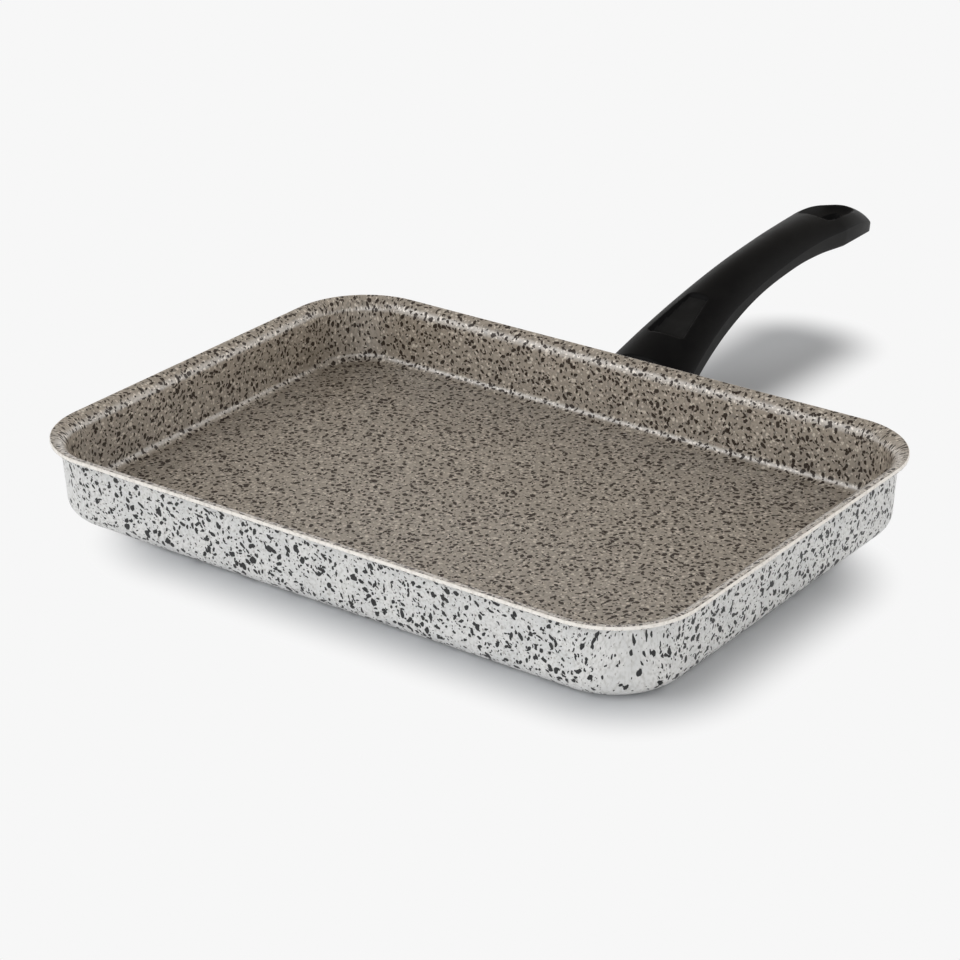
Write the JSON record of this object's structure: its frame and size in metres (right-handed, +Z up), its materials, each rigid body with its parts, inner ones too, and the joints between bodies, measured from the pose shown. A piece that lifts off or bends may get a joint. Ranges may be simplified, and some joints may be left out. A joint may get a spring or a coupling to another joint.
{
  "type": "grill pan",
  "caption": "Shallow rectangular aluminium pan with a flat floor, rounded corners, a flared lip and a fixed black handle with a hang hole, for frying and grilling on a hob.",
  "frame": {"origin": "middle of the base's flat underside", "axes": "+X along the long side, +Y towards the handle, +Z up"},
  "size_m": [0.36, 0.4931, 0.063],
  "materials": {
    "coated_aluminium": "speckled non-stick coat, taupe inside and white outside, with a bare cut edge on the lip",
    "bare_aluminium": "as cast",
    "zinc_steel": "zinc plated",
    "guard_steel": "satin",
    "black_phenolic": "satin moulded phenolic"
  },
  "bodies": {
    "root": {"pan_body": "coated_aluminium", "handle_boss": "bare_aluminium", "thread_insert": "zinc_steel", "flame_guard": "guard_steel", "handle_grip": "black_phenolic", "handle_screw": "zinc_steel", "flat_washer": "zinc_steel", "lock_washer": "zinc_steel"}
  },
  "joints": []
}
